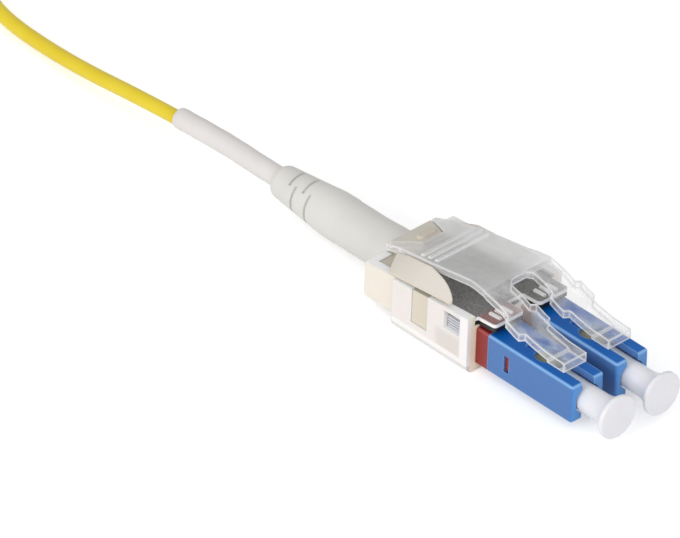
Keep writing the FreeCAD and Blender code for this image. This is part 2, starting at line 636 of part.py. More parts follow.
def rear_holder():
    """The cream holder: a block in the collar, cheeks with wings, a deck and the crimp post."""
    block_front, cheek_front = FRONT - BLOCK_FRONT, FRONT - CHEEK_FRONT
    collar_half, main_half = COLLAR_INNER_HALF - FIT, INNER_HALF - FIT
    x0, x1 = BLOCK_REAR - 1, cheek_front + 1
    back = trough(BLOCK_REAR, REAR + WALL, collar_half, COLLAR_FLOOR_Z + FIT, COLLAR_CAVITY_R)
    main = trough(REAR + 2 * FIT, cheek_front, main_half, FLOOR_T + FIT, CAVITY_R)
    between_cheeks = box(block_front, x1, -CHEEK_IN, CHEEK_IN, 0, HIGH)
    pad = box(FRONT - SIDE_SLOT_FRONT - SIDE_SLOT_L, FRONT - SIDE_SLOT_FRONT, -HOUSING_HALF_W + PAD_INSET,
              -main_half + 0.1, 0, HIGH).common(side_slot(FIT))
    whole = fused(back, main, *both_sides(pad)).common(under(below_rim, x0, x1, HIGH))
    lid_space = box(LID_REAR_X - FIT, x1, -CHEEK_IN, CHEEK_IN, 0, HIGH)
    lid_space = lid_space.cut(under(below_lid, x0, x1 + 1, HIGH))
    body = fused(whole.cut([lid_space, between_cheeks]), deck(), *both_sides(wing()),
                 rod(POST_REAR, BLOCK_REAR + 0.5, POST_R))
    bore = rod(POST_REAR - 1, BLOCK_REAR + 2, POST_BORE_R)
    half_h = FIBRE_R + FIBRE_ROOM
    wide, waist = FAR + half_h, FIBRE_R + 1.2
    funnel = plan_prism([(block_front + 1, -wide), (block_front + 1, wide), (BLOCK_REAR + 2.5, waist),
                         (BLOCK_REAR - 0.1, POST_BORE_R), (BLOCK_REAR - 0.1, -POST_BORE_R),
                         (BLOCK_REAR + 2.5, -waist)], AXIS_Z - half_h, AXIS_Z + half_h)
    ear_room = box(PIVOT_X - EAR_ROOM, PIVOT_X + EAR_ROOM, -CHEEK_IN, -EAR_IN + FIT, PIVOT_Z - EAR_ROOM, HIGH)
    body = body.cut([bore, funnel, *both_sides(ear_room)])
    pin = crosspin(-CHEEK_IN - 0.2, -EAR_IN, PIN_R, PIVOT_X, PIVOT_Z)
    return fused(body, *both_sides(pin))


# ---------------------------------------------------------------- latch cover
def cover_top(x):
    """Height of the cover's top at x."""
    for (xa, za), (xb, zb) in zip(COVER_TOP, COVER_TOP[1:]):
        if x <= xb:
            return za + (zb - za) * (x - xa) / (xb - xa)
    return COVER_TOP[-1][1]


def cover_edge(x):
    """Half of the cover's width at x, behind the arms."""
    share = (x - COVER_REAR_X) / (COVER_WIDE_X - COVER_REAR_X)
    return COVER_REAR_HALF_W + (COVER_HALF_W - COVER_REAR_HALF_W) * min(1.0, share)


def cover_outline():
    """Half of the cover seen from above, from the notch's middle round to the window's rear edge."""
    outer = FAR + ARM_HALF_W
    inner = FAR - ARM_HALF_W
    return [(NOTCH_FRONT_X, 0), (NOTCH_FRONT_X, NOTCH_HALF_W), (COVER_REAR_X, NOTCH_REAR_HALF_W),
            (COVER_REAR_X, COVER_REAR_HALF_W), (COVER_WIDE_X, COVER_HALF_W),
            (ARM_ROOT_X - 3.0, COVER_HALF_W), (ARM_ROOT_X, outer),
            (EAR_REAR_X - 0.3, outer), (EAR_REAR_X, FAR + EAR_HALF_W), (EAR_FRONT_X, FAR + EAR_HALF_W),
            (EAR_FRONT_X + 0.3, outer), (FOOT_FRONT_X, outer), (FOOT_FRONT_X, inner),
            (EAR_FRONT_X + 0.3, inner),
            (EAR_FRONT_X, FAR - EAR_HALF_W), (EAR_REAR_X, FAR - EAR_HALF_W), (EAR_REAR_X - 0.3, inner),
            (ARM_ROOT_X + 0.5, inner), (ARM_ROOT_X, inner - 0.5), (ARM_ROOT_X, 0)]


def latch_cover():
    top = list(COVER_TOP)
    under = []
    for x, z in reversed(COVER_TOP):
        share = min(1.0, max(0.0, (x - ARM_ROOT_X) / (EAR_REAR_X - ARM_ROOT_X)))
        under.append((x, z - COVER_T + share * (COVER_T - ARM_T)))
    plate = side_prism(top + under, HIGH)
    half = cover_outline()
    outline = half + [(x, -y) for x, y in reversed(half)][1:-1]
    plate = plate.common(plan_prism(outline))
    parts = []
    for y in (NEAR, FAR):
        foot_z = AXIS_Z + HALF + FOOT_GAP
        parts.append(side_prism([(FOOT_REAR_X, cover_top(FOOT_REAR_X) - 0.05), (FOOT_REAR_X + 0.35, foot_z),
                                 (FOOT_FRONT_X, foot_z), (FOOT_FRONT_X, cover_top(FOOT_FRONT_X) - 0.05)],
                                ARM_HALF_W, y))
    for i in range(RIDGES):
        x, half_w = RIDGE_X + i * RIDGE_PITCH, RIDGE_W / 2
        parts.append(side_prism([(x - half_w, cover_top(x - half_w) - 0.1),
                                 (x + half_w, cover_top(x + half_w) - 0.1),
                                 (x + half_w * 0.4, cover_top(x) + RIDGE_H),
                                 (x - half_w * 0.4, cover_top(x) + RIDGE_H)], RIDGE_HALF_L))
    ear = crosspin(-EAR_OUT, -EAR_IN, PIVOT_EAR_R, PIVOT_X, PIVOT_Z)
    ear = ear.fuse(box(PIVOT_X - PIVOT_EAR_R, PIVOT_X + PIVOT_EAR_R, -EAR_OUT, -EAR_IN, PIVOT_Z,
                       cover_top(PIVOT_X) - COVER_T + 0.3))
    cover = fused(plate, *parts, *both_sides(ear))
    socket = crosspin(-EAR_OUT - 1, -EAR_IN + 1, PIN_R + PIN_CLEAR, PIVOT_X, PIVOT_Z)
    return cover.cut(both_sides(socket))


# ---------------------------------------------------------------- boot and cable
def slit(x, middle_deg, half_deg, inner_r):
    """A slot round part of the boot, about the direction middle_deg from +Y towards +Z."""
    face = polygon([V(x - SLIT_W / 2, inner_r, 0), V(x + SLIT_W / 2, inner_r, 0),
                    V(x + SLIT_W / 2, BOOT_FRONT_R + 1, 0), V(x - SLIT_W / 2, BOOT_FRONT_R + 1, 0)])
    sector = face.revolve(V(0, 0, 0), V(1, 0, 0), 2 * half_deg)
    sector.rotate(V(0, 0, 0), V(1, 0, 0), middle_deg - half_deg)
    sector.translate(V(0, 0, AXIS_Z))
    return sector


def boot():
    neck_front = COLLAR_REAR + BOOT_NECK_L
    neck_bore, crimp_bore, rear_bore = POST_R + FIT, CRIMP_R + FIT, MARKER_R + 2 * FIT
    crimp_front, crimp_rear = COLLAR_REAR - 0.5, POST_REAR - CRIMP_GRIP_L - 0.6
    end = BOOT_REAR
    outside = [(neck_front, neck_bore), (neck_front, BOOT_NECK_R), (COLLAR_REAR - FIT, BOOT_NECK_R),
               (COLLAR_REAR - FIT, BOOT_FRONT_R), (BOOT_WAIST_X, BOOT_WAIST_R),
               (end + BOOT_ROUND, BOOT_REAR_R)]
    for degrees in (30, 60, 90):
        a = math.radians(degrees)
        outside.append((end + BOOT_ROUND * (1 - math.sin(a)),
                        BOOT_REAR_R - (BOOT_REAR_R - rear_bore - 0.15) * (1 - math.cos(a))))
    inside = [(end, rear_bore), (crimp_rear, rear_bore), (crimp_rear, crimp_bore), (crimp_front, crimp_bore),
              (crimp_front, neck_bore)]
    slits = []
    for i, x in enumerate(SLIT_ROWS):
        middles = (90, 270) if i % 2 == 0 else (0, 180)
        slits += [slit(x, m, SLIT_HALF_TURN[i % 2], rear_bore + 0.35) for m in middles]
    return turned(outside + inside).cut(slits)


def crimp_sleeve():
    """A metal sleeve over the post, drawn down behind it onto the cable's jacket."""
    front, grip = COLLAR_REAR - 0.6, POST_REAR - 0.3
    rear = POST_REAR - CRIMP_GRIP_L
    inner, jacket = POST_R + FIT, CABLE_R + RUN
    return turned([(front, inner), (front, CRIMP_R), (grip, CRIMP_R), (grip - 0.4, jacket + CRIMP_T),
                   (rear, jacket + CRIMP_T), (rear, jacket), (grip - 0.2, jacket), (grip + 0.2, inner)])


def marker_sleeve():
    route = [V(*p) for p in CABLE_ROUTE]
    outer, inner = tube(route, MARKER_R), tube(route, CABLE_R + FIT)
    span = box(MARKER_REAR_X, MARKER_FRONT_X, -HIGH, HIGH, -HIGH, HIGH)
    return outer.common(span).cut(inner)


def cable():
    return tube([V(*p) for p in CABLE_ROUTE], CABLE_R)


def hank_centre():
    end_x, end_y, _ = CABLE_ROUTE[-1]
    return end_x - HANK_LEAD_L - HANK_HALF_L, end_y - HANK_LOOP_R - 2 * CABLE_R


def round_end(r, middle_x):
    """Points round the +X end of a loop of radius r, from its -Y side."""
    turns = [math.pi * (i / HANK_END_SIDES - 0.5) for i in range(HANK_END_SIDES + 1)]
    return [(middle_x + r * math.cos(a), r * math.sin(a)) for a in turns]


def hank_outline(inset):
    """The hank from above: two round ends and the waist between them."""
    r = HANK_LOOP_R + HANK_HALF_THICK - inset
    half = round_end(r, HANK_HALF_L) + [(HANK_FLAT, r - HANK_PINCH), (-HANK_FLAT, r - HANK_PINCH)]
    return half + [(-x, -y) for x, y in half]


def hank_hole(sign):
    """The opening in the loops at one end, closing towards the tie."""
    hole = round_end(HANK_LOOP_R - HANK_HALF_THICK, HANK_HALF_L) + [(HANK_FLAT + 1, 0)]
    return [(sign * x, sign * y) for x, y in hole]


def hank_tie():
    """A band round the hank's waist."""
    x, y = hank_centre()
    half_w = HANK_LOOP_R + HANK_HALF_THICK - HANK_PINCH + TIE_ROOM
    outer = box(x - TIE_W / 2, x + TIE_W / 2, y - half_w, y + half_w, 0, HANK_H + TIE_ROOM)
    inner = box(x - TIE_W, x + TIE_W, y - half_w + TIE_T, y + half_w - TIE_T, TIE_T, HANK_H - TIE_T)
    return outer.cut(inner)


def cable_hank():
    """The outer form of the folded length, with the straight lead that the cable ends on."""
    x, y = hank_centre()
    levels = [(HANK_EDGE, 0), (0, HANK_EDGE), (0, HANK_H - HANK_EDGE), (HANK_EDGE, HANK_H)]
    slices = [Part.makePolygon([V(px, py, z) for px, py in hank_outline(inset) + hank_outline(inset)[:1]])
              for inset, z in levels]
    bundle = Part.makeLoft(slices, True, True)
    for sign in (1, -1):
        bundle = bundle.cut(plan_prism(hank_hole(sign)))
    bundle.translate(V(x, y, 0))
    end = V(*CABLE_ROUTE[-1])
    lead = rod(x + HANK_HALF_L, end.x, CABLE_R, end.y, end.z)
    return fused(bundle, lead).cut(hank_tie())


# ---------------------------------------------------------------- build and export
def build():
    nodes = {"lower_shell": lower_shell(), "upper_shell": upper_shell(), "inner_frame": inner_frame(),
             "rear_holder": rear_holder(), "latch_cover": latch_cover(), "crimp_sleeve": crimp_sleeve(),
             "boot": boot(), "marker_sleeve": marker_sleeve(), "cable": cable(), "cable_hank": cable_hank(),
             "hank_tie": hank_tie()}
    for side, y in (("near", NEAR), ("far", FAR)):
        nodes.update({"plug_body_" + side: plug_body(y), "rear_body_" + side: rear_body(y),
                      "flange_" + side: flange(y), "ferrule_" + side: ferrule(y), "spring_" + side: spring(y),
                      "fibre_" + side: fibre(y), "dust_cap_" + side: dust_cap(y)})
    return nodes


os.makedirs("parts", exist_ok=True)
for name, shape in sorted(build().items()):
    shape.translate(V(-ORIGIN_X, 0, 0))
    solids = shape.Solids
    print("%-16s solids %d valid %s volume %.2f" % (name, len(solids), shape.isValid(), shape.Volume))
    if len(solids) == 1:
        shape = solids[0]
    shape.exportStep("parts/%s.step" % name)
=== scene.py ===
import math

import bmesh
import bpy
import numpy as np
from mathutils import Matrix, Vector


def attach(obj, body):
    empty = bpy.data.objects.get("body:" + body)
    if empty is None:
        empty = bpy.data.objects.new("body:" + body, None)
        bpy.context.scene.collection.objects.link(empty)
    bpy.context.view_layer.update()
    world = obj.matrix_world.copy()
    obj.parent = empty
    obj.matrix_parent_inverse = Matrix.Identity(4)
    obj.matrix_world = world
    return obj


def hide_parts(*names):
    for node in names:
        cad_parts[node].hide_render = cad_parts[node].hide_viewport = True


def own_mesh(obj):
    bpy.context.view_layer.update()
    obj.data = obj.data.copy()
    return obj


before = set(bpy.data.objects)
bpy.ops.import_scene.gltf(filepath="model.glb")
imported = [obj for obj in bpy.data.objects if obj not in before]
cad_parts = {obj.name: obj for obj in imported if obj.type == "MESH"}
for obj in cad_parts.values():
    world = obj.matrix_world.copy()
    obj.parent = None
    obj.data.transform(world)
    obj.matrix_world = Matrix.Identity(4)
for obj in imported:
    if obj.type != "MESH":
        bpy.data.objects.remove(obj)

MM = 0.001
X, Y, Z = 0, 1, 2
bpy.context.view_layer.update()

# ---------------------------------------------------------------- camera
CAMERA_RIGHT = Vector((0.68803, 0.72486, 0.03458))
CAMERA_UP = Vector((-0.43731, 0.37612, 0.81688))
CAMERA_DISTANCE = 2.4
SENSOR_W = 36.0
CLIP_FROM, CLIP_TO = 0.1, 20.0
RENDER_W, RENDER_H = 680, 538             # the render's width and height, in dots
DOTS_A_MM = 9.837                         # how large a millimetre at the mark is drawn
MARK = Vector((-0.45, 0.0, 3.0)) * MM     # a place inside the housing that the camera is aimed by,
MARK_AT = (473.2, 300.7)                  # and where it stands in the render, from its upper left corner


def add_camera():
    """Looks down on the plugs from their front left, with a long lens. The aim is the mark, moved left and up
    by as much as the mark has to stand right of and under the render's middle."""
    right = CAMERA_RIGHT.normalized()
    up = (CAMERA_UP - right * CAMERA_UP.dot(right)).normalized()
    back = right.cross(up)
    data = bpy.data.cameras.new("camera")
    data.sensor_width = SENSOR_W
    data.lens = DOTS_A_MM * CAMERA_DISTANCE / MM * SENSOR_W / RENDER_W
    data.clip_start, data.clip_end = CLIP_FROM, CLIP_TO
    camera = bpy.data.objects.new("camera", data)
    bpy.context.scene.collection.objects.link(camera)
    to_left, to_top = (MARK_AT[0] - RENDER_W / 2) / DOTS_A_MM, (MARK_AT[1] - RENDER_H / 2) / DOTS_A_MM
    aim = MARK + (up * to_top - right * to_left) * MM
    camera.matrix_world = Matrix.Translation(aim + back * CAMERA_DISTANCE) @ Matrix(
        (right, up, back)).transposed().to_4x4()
    bpy.context.scene.camera = camera


add_camera()

# ---------------------------------------------------------------- surfaces from arrays
SHIFT = 19.55            # the lengths count from the plugs' front faces, and the frame from the housing's middle
ONE_POINT = 1e-8         # corners nearer than this are one, and edges shorter than NO_EDGE are none
NO_EDGE = 1e-9


def rows_of(points):
    """Points in millimetres from the plugs' front faces, as an array of metres in the frame."""
    p = np.array(points, float).reshape(-1, 3)
    return (p + [SHIFT, 0, 0]) * MM


def ease(t):
    """From 0 to 1 with level ends: three times the square less twice the cube."""
    return t * t * (3 - 2 * t)


def add_mesh(name, points, faces):
    """A smooth-shaded mesh object from an array of points and an array of corner numbers."""
    mesh = bpy.data.meshes.new(name)
    mesh.from_pydata(points.reshape(-1, 3).tolist(), [], faces.tolist())
    mesh.validate()
    mesh.update()
    mesh.polygons.foreach_set("use_smooth", np.full(len(mesh.polygons), True))
    piece = bpy.data.objects.new(name, mesh)
    bpy.context.scene.collection.objects.link(piece)
    return piece


def grid_faces(rows, columns, closed_rows, closed_columns):
    """Corner numbers of a grid's quads. The quad at row i and column j joins (i, j), (i + 1, j),
    (i + 1, j + 1) and (i, j + 1), and the grid is wrapped round where it is closed."""
    i = np.arange(rows if closed_rows else rows - 1)
    j = np.arange(columns if closed_columns else columns - 1)
    a, b = np.meshgrid(i, j, indexing="ij")
    a, b = a.ravel(), b.ravel()
    a2, b2 = (a + 1) % rows, (b + 1) % columns
    return np.stack([a * columns + b, a2 * columns + b, a2 * columns + b2, a * columns + b2], 1)


def close_up(piece):
    """Merges what meets at poles and seams, and turns the faces of the closed mesh outwards."""
    bm = bmesh.new()
    bm.from_mesh(piece.data)
    bmesh.ops.remove_doubles(bm, verts=bm.verts, dist=ONE_POINT)
    bmesh.ops.dissolve_degenerate(bm, edges=bm.edges, dist=NO_EDGE)
    bmesh.ops.recalc_face_normals(bm, faces=bm.faces)
    bm.to_mesh(piece.data)
    bm.free()
    return piece


def turned(name, profile, y, z, sides, closed=True, dip=None, sag=None):
    """A profile of (x, radius) carried round an axis along X: at turn t a point stands at y + r cos t and
    z + r sin t. dip(x, t, r) is first taken off the radius, and sag(x, r) off the height."""
    profile = np.array(profile, float)
    turn = np.linspace(0, 2 * np.pi, sides, endpoint=False)
    x = profile[:, :1] + 0 * turn
    r = profile[:, 1:] + 0 * turn
    if sag is not None:
        z = z - sag(x, r)
    if dip is not None:
        r = r - dip(x, turn + 0 * x, r)
    points = np.stack([x, y + r * np.cos(turn), z + r * np.sin(turn)], 2)
    return close_up(add_mesh(name, rows_of(points), grid_faces(len(profile), sides, closed, True)))


def soften_by_angle(piece, degrees):
    """Edges sharper than this stay sharp in the shading."""
    bm = bmesh.new()
    bm.from_mesh(piece.data)
    for e in bm.edges:
        e.smooth = len(e.link_faces) == 2 and e.calc_face_angle(0) < math.radians(degrees)
    bm.to_mesh(piece.data)
    bm.free()
    return piece


# ---------------------------------------------------------------- the cord
AXIS_Z = 3.1             # the height of the plugs' and the boot's middle
CABLE_R = 0.8
REST_Z = CABLE_R + 0.05  # the cord's middle where it lies on the floor
ROUTE = [
    (-35.1, 0.0, AXIS_Z),
    (-50.6, 0.05, AXIS_Z),
    (-66.0, -0.6, AXIS_Z - 0.15),
    (-80.5, -0.3, 1.0),
    (-92.5, 0.4, REST_Z),
    (-99.5, 5.0, REST_Z),
    (-104.0, 5.0, REST_Z),
]
HANK_AT = (-120.0, -3.0)
HANK_HALF_L = 10.0
HANK_RADII = (8.0, 6.4, 4.8)
HANK_PINCH = 3.5
HANK_PINCH_L = 11.0      # how far from the tie the loops are drawn in
LAYERS = 4
LAYER_STEP = 1.6
POINTS_A_LOOP = 28
CROSSING = (0.86, 1.0)   # the share of a loop in which it steps over to its neighbour
LOOSE_END = 0.14         # the share that the last loop lacks
TIE_LIFT = 0.25          # how much higher the loops stand under the tie
SPLINE_STEPS = 8
ROUND_STEPS = 6


def hank_points():
    """The hank's loops as more points of the cord: each loop is a track with two straight sides and two round
    ends, which steps to the next radius or layer in its last part, first inwards, then outwards in the
    layer above. Both sides are drawn in towards the tie by a squared cosine of the way from it, and lifted
    under it by that share's fourth power."""
    loops = []
    for layer in range(LAYERS):
        radii = HANK_RADII if layer % 2 == 0 else HANK_RADII[::-1]
        loops += [(r, REST_Z + layer * LAYER_STEP) for r in radii]
    r, z = np.array(loops).T
    turns = np.arange(0, len(loops) - LOOSE_END, 1 / POINTS_A_LOOP)
    k = np.floor(turns).astype(int)
    share = ease(np.clip((turns - k - CROSSING[0]) / (CROSSING[1] - CROSSING[0]), 0, 1))
    after = np.minimum(k + 1, len(loops) - 1)
    radius = r[k] + (r[after] - r[k]) * share
    height = z[k] + (z[after] - z[k]) * share
    # one loop from the +X end of the +Y side: side, round end, side, round end
    side, end = 2 * HANK_HALF_L, np.pi * radius
    s = (turns - k) * 2 * (side + end)
    on_side_1 = s < side
    on_end_1 = (s >= side) & (s < side + end)
    on_side_2 = (s >= side + end) & (s < 2 * side + end)
    a1, a2 = (s - side) / radius, (s - 2 * side - end) / radius
    x = np.select([on_side_1, on_end_1, on_side_2],
                  [HANK_HALF_L - s, -HANK_HALF_L - radius * np.sin(a1), -HANK_HALF_L + s - side - end],
                  HANK_HALF_L + radius * np.sin(a2))
    y = np.select([on_side_1, on_end_1, on_side_2],
                  [radius, radius * np.cos(a1), -radius], -radius * np.cos(a2))
    pinch = np.where(np.abs(x) < HANK_PINCH_L, np.cos(np.pi / 2 * x / HANK_PINCH_L) ** 2, 0)
    y = y - np.sign(y) * HANK_PINCH * pinch
    height = height + TIE_LIFT * pinch ** 4
    return np.stack([HANK_AT[0] + x, HANK_AT[1] + y, height], 1)


def add_cable():
    """One smooth cord from inside the boot along the route and round the hank."""
    points = np.concatenate([rows_of(ROUTE), rows_of(hank_points())])
    curve = bpy.data.curves.new("yellow_cable", "CURVE")
    curve.dimensions = "3D"
    spline = curve.splines.new("NURBS")
    spline.points.add(len(points) - 1)
    spline.points.foreach_set("co", np.concatenate([points, np.ones((len(points), 1))], 1).ravel())
    spline.order_u = 3
    spline.use_endpoint_u = True
    spline.resolution_u = SPLINE_STEPS
    curve.bevel_depth = CABLE_R * MM
    curve.bevel_resolution = ROUND_STEPS
    curve.use_fill_caps = True
    cable = bpy.data.objects.new("yellow_cable", curve)
    bpy.context.scene.collection.objects.link(cable)
    return cable


def centreline(cable):
    """Points along the cord's middle, read from its own spline."""
    bare = cable.data.copy()
    bare.bevel_depth = 0
    holder = bpy.data.objects.new("cable_middle", bare)
    line = bpy.data.meshes.new_from_object(holder)
    points = np.empty(3 * len(line.vertices), np.float32)
    line.vertices.foreach_get("co", points)
    bpy.data.objects.remove(holder)
    bpy.data.curves.remove(bare)
    bpy.data.meshes.remove(line)
    return points.reshape(-1, 3).astype(float)


LOOK_ALONG = 0.8 * MM    # the line's direction at a place is from this far behind it to this far ahead


def tube_along(name, line, profile, lift, sides=48):
    """A closed profile of (distance along the line, radius) carried round a line of points: at turn t a point
    stands at the line's place + r cos t to the side + r sin t upwards, and lift higher."""
    run = np.concatenate([[0], np.cumsum(np.linalg.norm(np.diff(line, axis=0), axis=1))])
    at = profile[:, 0]

    def on_line(distance):
        return np.stack([np.interp(distance, run, line[:, k]) for k in (X, Y, Z)], 1)

    along = on_line(at + LOOK_ALONG) - on_line(at - LOOK_ALONG)
    along /= np.linalg.norm(along, axis=1)[:, None]
    side = np.cross(along, [0, 0, 1.0])
    side /= np.linalg.norm(side, axis=1)[:, None]
    up = np.cross(side, along)
    turn = np.linspace(0, 2 * np.pi, sides, endpoint=False)
    ring = side[:, None] * np.cos(turn)[None, :, None] + up[:, None] * np.sin(turn)[None, :, None]
    points = on_line(at)[:, None] + ring * profile[:, 1][:, None, None]
    points[:, :, Z] += lift[:, None]
    return close_up(add_mesh(name, points, grid_faces(len(profile), sides, True, True)))


cable = add_cable()
middle_line = centreline(cable)


# ---------------------------------------------------------------- how a finish is put together
NOISE_MIDDLE = (0.3, 0.7)           # nearly all of a noise's values lie between these
PATCHES_A_METRE = 250.0             # colour drift of plain pieces, and of pieces with painted light and shade on each facing
FACE_PATCHES_A_METRE = 260.0
HAZE_PATCHES_A_METRE = 900.0
GRAINS_A_METRE = 2500.0
FROST_GRAINS_A_METRE = 5200.0
SOFT_EDGE = 0.12 * MM               # the rounding of a moulded edge
SOFT_SAMPLES, EDGE_SAMPLES = 6, 8
FROST = {"strength": 0.6, "depth": 0.01 * MM}
PEAK_OF_PRODUCT = 0.25              # s (1 - s) is at most this


def tint(r, g, b):
    """An sRGB colour of 0..255 as linear light."""
    c = np.array([r, g, b], float) / 255
    return (*np.where(c <= 0.04045, c / 12.92, ((c + 0.055) / 1.055) ** 2.4), 1.0)


def new_material(name, **sockets):
    """A material whose shader has these values set on its own sockets, and its node tree."""
    m = bpy.data.materials.new(name)
    m.use_nodes = True
    tree = m.node_tree
    shader = next(n for n in tree.nodes if n.type == "BSDF_PRINCIPLED")
    for key, value in sockets.items():
        shader.inputs[key.replace("_", " ")].default_value = value
    return m, tree, shader


def add(tree, kind, **settings):
    """A new node with these settings."""
    node = tree.nodes.new(kind)
    for key, value in settings.items():
        setattr(node, key, value)
    return node


def feed(tree, socket, value):
    """Links an input to another socket, or sets it to a value."""
    if isinstance(value, bpy.types.NodeSocket):
        tree.links.new(value, socket)
    else:
        socket.default_value = value


def calc(tree, operation, a, b, clamp=True):
    """One step of arithmetic on two values or sockets."""
    node = add(tree, "ShaderNodeMath", operation=operation)
    node.use_clamp = clamp
    feed(tree, node.inputs[0], a)
    feed(tree, node.inputs[1], b)
    return node.outputs[0]


def times(tree, a, b):
    """The product of two shares."""
    return calc(tree, "MULTIPLY", a, b)


def ranged(tree, source, start, end, low=0.0, high=1.0, kind="LINEAR"):
    """low where a socket is at start or short of it, high at end or past it, and between them in between."""
    node = add(tree, "ShaderNodeMapRange", interpolation_type=kind)
    for key, value in (("Value", source), ("From Min", start), ("From Max", end), ("To Min", low), ("To Max", high)):
        feed(tree, node.inputs[key], value)
    return node.outputs[0]


def mix_value(tree, share, a, b):
    """Blends two numbers, each given as a value or a socket, by share."""
    node = add(tree, "ShaderNodeMix")
    for key, value in ((0, share), (2, a), (3, b)):
        feed(tree, node.inputs[key], value)
    return node.outputs[0]


def mix_colour(tree, share, a, b):
    """Blends two colours, each given as a value or a socket, by share."""
    node = add(tree, "ShaderNodeMix", data_type="RGBA")
    for key, value in ((0, share), (6, a), (7, b)):
        feed(tree, node.inputs[key], value)
    return node.outputs[2]


def place_on(tree, axis):
    """The place along an axis, in metres on the piece's own coordinates."""
    at = add(tree, "ShaderNodeTexCoord")
    split = add(tree, "ShaderNodeSeparateXYZ")
    tree.links.new(at.outputs["Object"], split.inputs[0])
    return split.outputs[axis]


def noise(tree, scale, detail=2.0, rough=0.5, stretch=(1, 1, 1)):
    """Noise over the piece's own coordinates; scale is in features a metre."""
    at = add(tree, "ShaderNodeTexCoord")
    mapping = add(tree, "ShaderNodeMapping")
    mapping.inputs["Scale"].default_value = stretch
    n = add(tree, "ShaderNodeTexNoise")
    n.inputs["Scale"].default_value = scale
    n.inputs["Detail"].default_value = detail
    n.inputs["Roughness"].default_value = rough
    tree.links.new(at.outputs["Object"], mapping.inputs["Vector"])
    tree.links.new(mapping.outputs["Vector"], n.inputs["Vector"])
    return n.outputs["Fac"]


def ramp_of(tree, source, low, high):
    """A colour ramp over a socket between two stops of (place, colour)."""
    ramp = add(tree, "ShaderNodeValToRGB")
    for element, (place, colour) in zip(ramp.color_ramp.elements, (low, high)):
        element.position, element.color = place, tint(*colour)
    tree.links.new(source, ramp.inputs["Fac"])
    return ramp.outputs["Color"]


def drifting(tree, scale, colour, other):
    """A colour that drifts into another over patches."""
    return ramp_of(tree, noise(tree, scale), (NOISE_MIDDLE[0], colour), (NOISE_MIDDLE[1], other))


def softened(tree, shader, bevel=SOFT_EDGE, depth=0.004 * MM, strength=0.35):
    """Rounds edges in the shading and adds a fine grain."""
    bump = add(tree, "ShaderNodeBump")
    bump.inputs["Strength"].default_value = strength
    bump.inputs["Distance"].default_value = depth
    tree.links.new(noise(tree, GRAINS_A_METRE), bump.inputs["Height"])
    if bevel:
        soft = add(tree, "ShaderNodeBevel", samples=SOFT_SAMPLES)
        soft.inputs["Radius"].default_value = bevel
        tree.links.new(soft.outputs["Normal"], bump.inputs["Normal"])
    tree.links.new(bump.outputs["Normal"], shader.inputs["Normal"])


def edge_share(tree, radius, low=0.02, high=0.25):
    """0 on flat walls and 1 along edges: one less the dot product of a softened normal and the true one,
    counted from low to high."""
    soft = add(tree, "ShaderNodeBevel", samples=EDGE_SAMPLES)
    soft.inputs["Radius"].default_value = radius
    true = add(tree, "ShaderNodeNewGeometry")
    dot = add(tree, "ShaderNodeVectorMath", operation="DOT_PRODUCT")
    tree.links.new(soft.outputs["Normal"], dot.inputs[0])
    tree.links.new(true.outputs["Normal"], dot.inputs[1])
    return ranged(tree, dot.outputs["Value"], 1 - low, 1 - high)


def facing(tree):
    """How far a face looks along X, Y and Z: the squares of its normal, which add up to 1."""
    at = add(tree, "ShaderNodeTexCoord")
    square = add(tree, "ShaderNodeVectorMath", operation="MULTIPLY")
    split = add(tree, "ShaderNodeSeparateXYZ")
    tree.links.new(at.outputs["Normal"], square.inputs[0])
    tree.links.new(at.outputs["Normal"], square.inputs[1])
    tree.links.new(square.outputs[0], split.inputs[0])
    return split.outputs


def beyond(tree, axis, limit, sign=1):
    """1 where the place along an axis, turned by sign, is beyond a limit in metres, and 0 elsewhere."""
    return calc(tree, "GREATER_THAN", calc(tree, "MULTIPLY", place_on(tree, axis), sign, False), limit)


def reach(tree, axis, span, both_sides=False):
    """0 up to the span's first place along an axis and 1 from its second on, smooth between them, in
    millimetres. With both_sides the distance from the middle counts."""
    place = place_on(tree, axis)
    if both_sides:
        place = calc(tree, "ABSOLUTE", place, 0.0, False)
    return ranged(tree, place, span[0] * MM, span[1] * MM, kind="SMOOTHSTEP")


# ---------------------------------------------------------------- finishes
ARMS_FROM = 5.8 * MM                # the cover's arms lie before this place
PAINTED_WHITENING_SPAN = (0.2, 2.2)            # across the cover, its left half is painted whiter over this span, for the white floor seen through it
PAINTED_WHITENING_SHARE = 0.3
COVER_EDGE_R = 0.55 * MM            # how wide the cover's edges gather light,
COVER_EDGE_TURN = (0.01, 0.2)       # and over how sharp a turn
HAZE_STRETCH = (0.5, 0.8, 1.0)

LID_SLOPE = 0.0773                  # the lid's top rises forwards
LID_TOP = 6.175 * MM                # its height at the frame's middle
LID_RIB_FROM = 0.1 * MM             # what stands this far over it is a rib
LID_RIM_T = 0.4 * MM                # how deep the pale rim of its upright faces goes
LID_EDGE_R = 0.3 * MM
LID_GRAIN = (0.34, 0.66)            # the noise's values at which its grain is darkest and lightest
LID_GRAIN_DETAIL, LID_GRAIN_ROUGH = 4.0, 0.7
TONGUES_FROM = 5.5 * MM             # the tongues lie before this place
# how strongly the red block under the near tongue is painted onto it
PAINTED_RED_SHARE = 0.6

# marks on the housing's walls, one of them a painted shade under each window: where each begins, and where it is
# full, in millimetres
FRAME_FRONT, FRAME_FOOT = (4.3, 4.5), (1.6, 1.45)
SHADE_REAR, SHADE_FRONT, SHADE_FOOT, SHADE_TOP = (0.4, 1.4), (4.6, 4.0), (1.5, 1.7), (4.2, 3.2)
FOOT_EDGE = (1.05, 0.85)
COLLAR_SPAN, COLLAR_SHARE = (-5.4, -5.7), 0.8
LIP_INSIDE, LIP_FRONT = (6.2, 6.0), (5.2, 5.4)
FRAME_WHITE, SHADE_GREY, FOOT_GREY = (250, 247, 245), (226, 218, 212), (228, 225, 221)
COLLAR_CREAM, LIP_CREAM = (243, 235, 220), (252, 238, 214)

